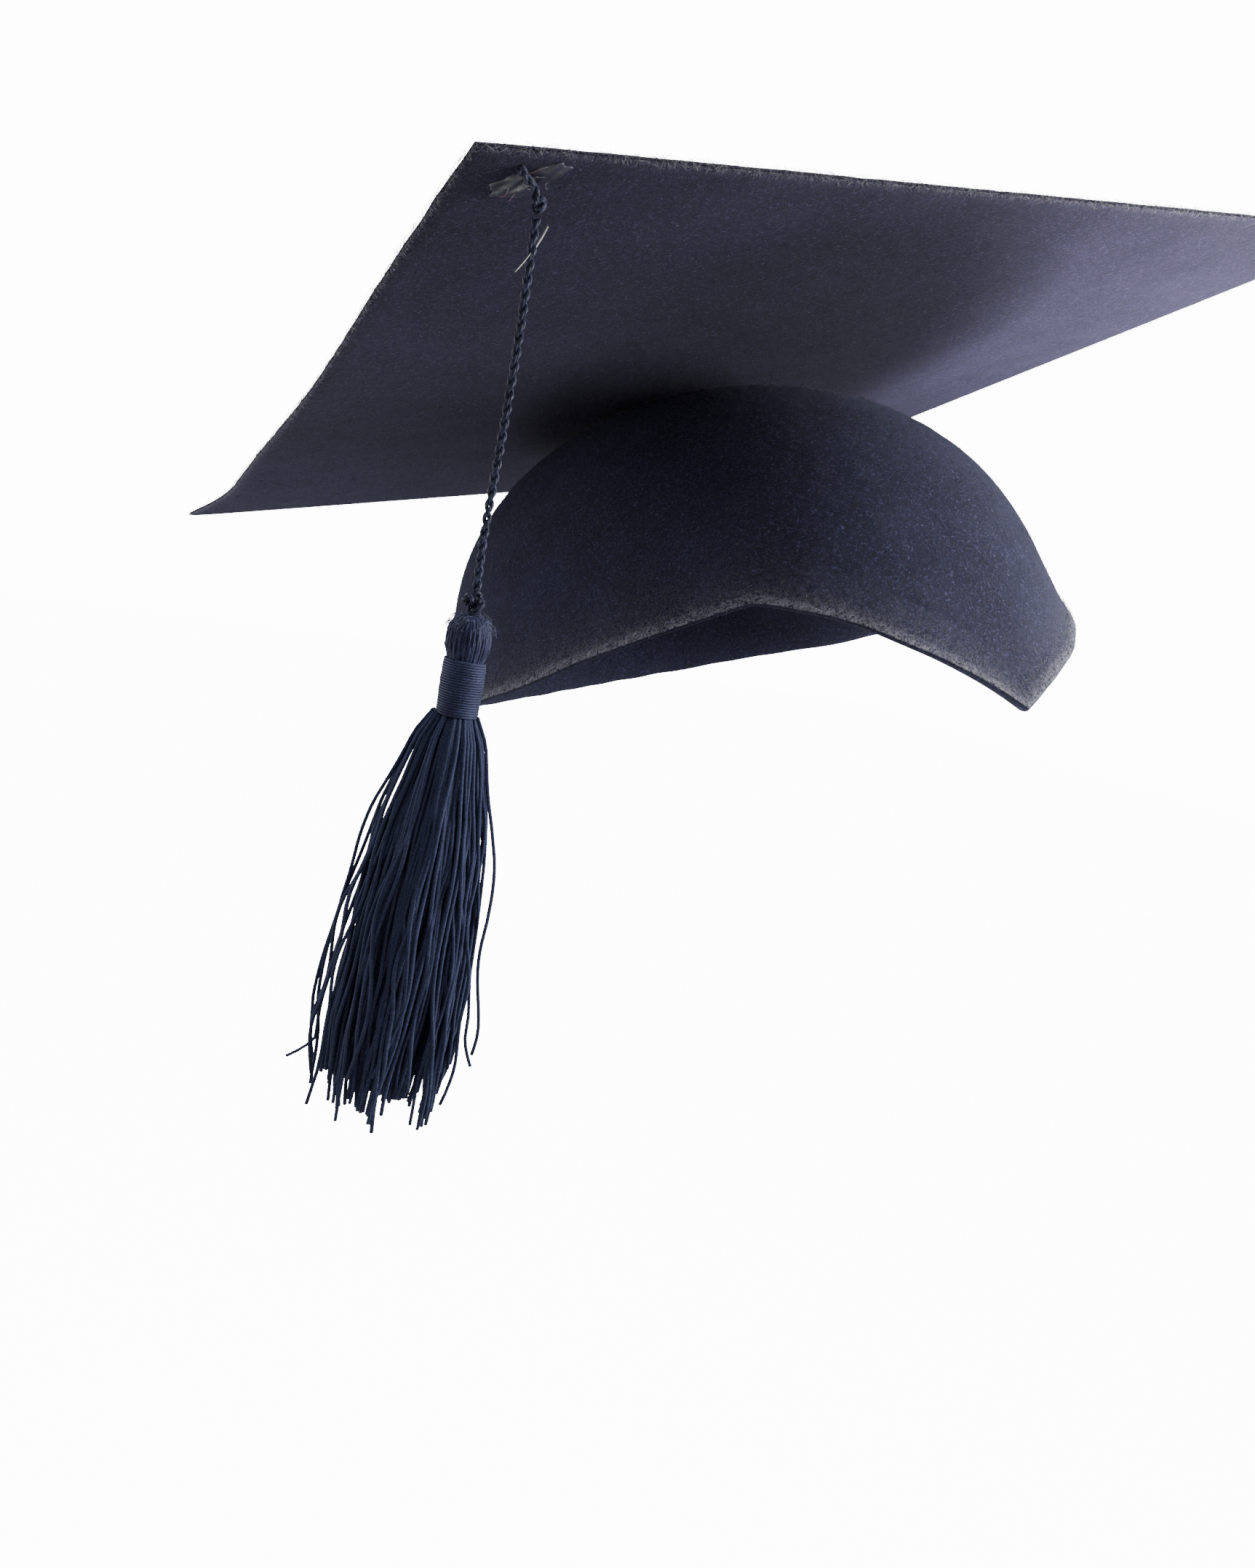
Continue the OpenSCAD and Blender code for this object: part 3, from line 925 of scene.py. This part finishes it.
def make_head():
    """Threads folded over the loop: they spread from the top, swell and run into the binding."""
    paths = []
    radii = []
    rng = np.random.default_rng(21)
    threads = 84
    for k in range(threads):
        angle = 2 * math.pi * (k + rng.uniform(-0.3, 0.3)) / threads
        lean = rng.normal(0, 0.10)
        line = []
        for share in np.linspace(0, 1, 16):
            z = HEAD_TOP - (HEAD_TOP - SKIRT_TOP) * share ** 1.5
            radius = head_radius(z) - 0.28 * MM + 0.12 * MM * rng.normal() * (0.1 < share < 0.5)
            around = angle + lean * share
            line.append((NOD[0] + radius * math.cos(around), NOD[1] + radius * math.sin(around), z))
        paths.append(resample(line, 22))
        radii.append(rng.uniform(0.19, 0.24) * MM)
    points, faces = tubes(paths, radii, 6)
    # A solid core behind the threads, so that no gap shows between them
    core_rows = []
    rings = 24
    sides = 40
    around = np.arange(sides) * 2 * math.pi / sides
    for z in np.linspace(HEAD_TOP - 0.3 * MM, SKIRT_TOP, rings):
        radius = max(float(head_radius(z)) - 0.35 * MM, 0.2 * MM)
        core_rows.append(np.stack([NOD[0] + radius * np.cos(around), NOD[1] + radius * np.sin(around),
                                   np.full(sides, z)], axis=1))
    start = len(points)
    points = list(points) + list(np.concatenate(core_rows))
    faces = list(faces) + [f[::-1] for f in grid_faces(rings, sides, start)]
    faces.append(tuple(start + i for i in range(sides)))
    faces.append(tuple(start + (rings - 1) * sides + i for i in range(sides))[::-1])
    head = new_piece("folded_head", points, faces, HEAD_LOOK, "tassel", "tassel_thread")
    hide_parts("tassel_head")


def make_binding():
    """One thread wound tightly round the neck, turn on turn."""
    thread = 0.42 * MM
    steps = 28
    turns = int((NECK_TOP - SKIRT_TOP) / thread)
    line = []
    rng = np.random.default_rng(5)
    wander = np.convolve(rng.normal(0, 1, turns + 3), [0.3, 0.4, 0.3], "valid")
    for step in range(turns * steps + 1):
        share = step / (turns * steps)
        angle = 2 * math.pi * step / steps
        bulge = 0.10 * MM * math.sin(math.pi * share) + 0.05 * MM * wander[step // steps]
        radius = BINDING_R - thread / 2 + bulge
        line.append((NOD[0] + radius * math.cos(angle), NOD[1] + radius * math.sin(angle),
                     NECK_TOP - thread / 2 + (SKIRT_TOP - NECK_TOP + thread) * share))
    points, faces = tubes([line], [thread * 0.54], 6)
    binding = new_piece("binding_thread", points, faces, HEAD_LOOK, "tassel", "tassel_thread")
    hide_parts("tassel_binding")


# How wide the loose threads spread: share of the drop, share of the skirt's radius
SKIRT_SPREAD = [(0, 0.26), (0.06, 0.42), (0.24, 0.66), (0.48, 0.87), (0.76, 0.98), (0.92, 0.94), (1, 0.88)]
# The side on which strands have come loose, as an angle about the plumb line
LOOSE_SIDE = math.radians(148)
# How far the foot of the bundle has drifted towards that side
SKIRT_DRIFT = 2.5 * MM
SKIRT_THREADS = 290
SKIRT_CLUMPS = 46


def thread_line(rng, angle, place, length, sway, kink=0.0):
    """One hanging thread: it flares from the neck, wavers, and its cut end may kick out."""
    drop = SKIRT_TOP - SKIRT_FOOT
    phases = rng.uniform(0, 2 * math.pi, 3)
    waves = rng.uniform(2.2, 7, 3) * MM
    shares, spreads = zip(*SKIRT_SPREAD)
    line = []
    for share in np.linspace(0, 1, 34):
        down = length * share
        radius = SKIRT_R * np.interp(down / drop, shares, spreads) * place - 0.3 * MM
        radius += kink * np.clip((share - 0.9) / 0.1, 0, 1) ** 1.5
        loosen = min(1.0, share * 2.5)
        wave_x = sway * loosen * math.sin(down / waves[0] + phases[0])
        wave_y = sway * loosen * math.sin(down / waves[1] + phases[1])
        turn = angle + 0.10 * loosen * math.sin(down / waves[2] / 2 + phases[2])
        drift = SKIRT_DRIFT * down / drop
        line.append((NOD[0] + drift * math.cos(LOOSE_SIDE) + radius * math.cos(turn) + wave_x,
                     NOD[1] + drift * math.sin(LOOSE_SIDE) + radius * math.sin(turn) + wave_y,
                     SKIRT_TOP + 0.4 * MM - down + 3.5 * abs(kink) * max(0, share - 0.9)))
    return line


def make_skirt():
    """Loose threads: packed at the neck, flared and clumped below, cut to ragged lengths."""
    rng = np.random.default_rng(7)
    drop = SKIRT_TOP - SKIRT_FOOT
    clumps = [(rng.uniform(0, 2 * math.pi), math.sqrt(rng.uniform(0.02, 0.9)), rng.uniform(0.84, 0.985))
              for _ in range(SKIRT_CLUMPS)]
    paths = []
    radii = []
    for _ in range(SKIRT_THREADS):
        angle = rng.uniform(0, 2 * math.pi)
        place = math.sqrt(rng.uniform(0, 0.90))
        away = [(angle - c[0] + math.pi) % (2 * math.pi) - math.pi for c in clumps]
        near = min(range(len(clumps)), key=lambda i: abs(away[i]) * place + 0.8 * abs(place - clumps[i][1]))
        length = drop * min(clumps[near][2] + rng.normal(0, 0.018), 0.995)
        line = np.array(thread_line(rng, angle, place, length, rng.uniform(0.12, 0.42) * MM))
        target = np.array(thread_line(rng, clumps[near][0], clumps[near][1], length, 0.2 * MM))
        grip = (rng.uniform(0.0, 0.65) * np.linspace(0, 1, len(line)) ** 2.4)[:, None]
        line[:, :2] = line[:, :2] * (1 - grip) + target[:, :2] * grip
        paths.append(line)
        radii.append(rng.uniform(0.29, 0.36) * MM)
    # Strands that have come away from the bundle: side, reach, share of the drop, kink
    loose = [(0.00, 1.12, 0.93, 0.0), (-0.18, 1.20, 0.87, 0.0), (0.22, 1.06, 0.95, 0.0),
             (0.45, 1.10, 0.90, 0.0), (-0.42, 1.08, 0.96, 0.0), (0.10, 1.04, 0.92, 5.0),
             (-0.05, 1.24, 0.84, 0.0), (0.60, 1.04, 0.97, 2.0), (-0.60, 1.00, 0.99, -2.0),
             (3.05, 1.12, 0.82, 0.0), (2.80, 0.98, 0.95, 0.0), (-2.75, 1.00, 0.90, 2.5)]
    for side, reach, share, kink in loose:
        paths.append(thread_line(rng, LOOSE_SIDE + side, reach, drop * share, 0.5 * MM, kink * MM))
        radii.append(0.31 * MM)
    points, faces = tubes(paths, radii, 6, 0.85)
    skirt = new_piece("loose_threads", points, faces, THREAD_LOOK, "tassel", "tassel_thread")
    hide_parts("tassel_skirt")


make_knots()
make_cord_tail()
make_head()
make_frizz()
make_binding()
make_skirt()


# ---------------------------------------------------------------- looks of the CAD nodes that stay

for node, look in (("crown_glue", GLUE_LOOK), ("tassel_loop", CORD_LOOK)):
    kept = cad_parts[node]
    for material_slot in kept.material_slots:
        material_slot.material = look


# ---------------------------------------------------------------- floor and light

def shown_brighter(nodes, links, shown, lit):
    """A strength that is higher where the backdrop is seen directly than where it lights the cap."""
    path = nodes.new("ShaderNodeLightPath")
    strength = nodes.new("ShaderNodeMapRange")
    strength.inputs["To Min"].default_value = lit
    strength.inputs["To Max"].default_value = shown
    links.new(path.outputs["Is Camera Ray"], strength.inputs["Value"])
    return strength.outputs["Result"]


# The floor is wide and well below the cap, so that it fills the view and hides nothing from below
FLOOR_DROP = 1.4
FLOOR_HALF = 12.0
# How bright the floor and the world are where they are seen, and how much light the world gives
FLOOR_SHOWN = 13.0
WORLD_SHOWN = 14.0
WORLD_LIT = 0.58


def make_stage():
    floor_z = cad_box[0][2] - FLOOR_DROP
    mesh = bpy.data.meshes.new("floor")
    corners = [(x * FLOOR_HALF, y * FLOOR_HALF, floor_z) for x, y in ((-1, -1), (1, -1), (1, 1), (-1, 1))]
    mesh.from_pydata(corners, [], [(0, 1, 2, 3)])
    material, nodes, links, shader = new_material("floor")
    shader.inputs["Base Color"].default_value = (0.85, 0.85, 0.86, 1)
    shader.inputs["Roughness"].default_value = 0.9
    shader.inputs["Emission Color"].default_value = (1, 1, 1, 1)
    links.new(shown_brighter(nodes, links, FLOOR_SHOWN, 0.0), shader.inputs["Emission Strength"])
    mesh.materials.append(material)
    floor = bpy.data.objects.new("floor", mesh)
    bpy.context.collection.objects.link(floor)
    world = bpy.data.worlds.new("studio")
    world.use_nodes = True
    background = world.node_tree.nodes["Background"]
    background.inputs["Color"].default_value = (1, 1, 1, 1)
    strength = shown_brighter(world.node_tree.nodes, world.node_tree.links, WORLD_SHOWN, WORLD_LIT)
    world.node_tree.links.new(strength, background.inputs["Strength"])
    bpy.context.scene.world = world
    # Each light: name, place, what it is aimed at, power in watts, size, spread in degrees
    lights = [
        ("window", (0.27, -0.27, 0.13), (0.04, -0.08, -0.01), 4.2, 0.22, 150),
        ("right_corner", (0.17, -0.12, -0.20), (0.14, -0.10, 0.09), 1.9, 0.12, 70),
        ("left_corner", (-0.11, 0.14, -0.30), (-0.12, 0.13, 0.04), 0.24, 0.12, 70),
        ("side", (-0.55, 0.38, -0.08), (0, 0, 0.04), 3.5, 0.4, 180),
        ("key", (-0.5, -0.7, 1.1), (0, 0, 0.04), 4.0, 0.9, 180),
        ("back", (0.4, 1.0, 0.7), (0, 0, 0.04), 10.0, 0.9, 180),
        ("top", (0.15, 0.35, 1.1), (0, 0, 0.08), 7.0, 0.7, 120),
    ]
    for name, place, aim, power, size, spread in lights:
        light = bpy.data.lights.new(name, "AREA")
        light.energy = power
        light.size = size
        light.spread = math.radians(spread)
        lamp = bpy.data.objects.new(name, light)
        lamp.location = place
        lamp.rotation_euler = (Vector(aim) - Vector(place)).to_track_quat("-Z", "Y").to_euler()
        lamp.visible_camera = False
        bpy.context.collection.objects.link(lamp)


make_stage()
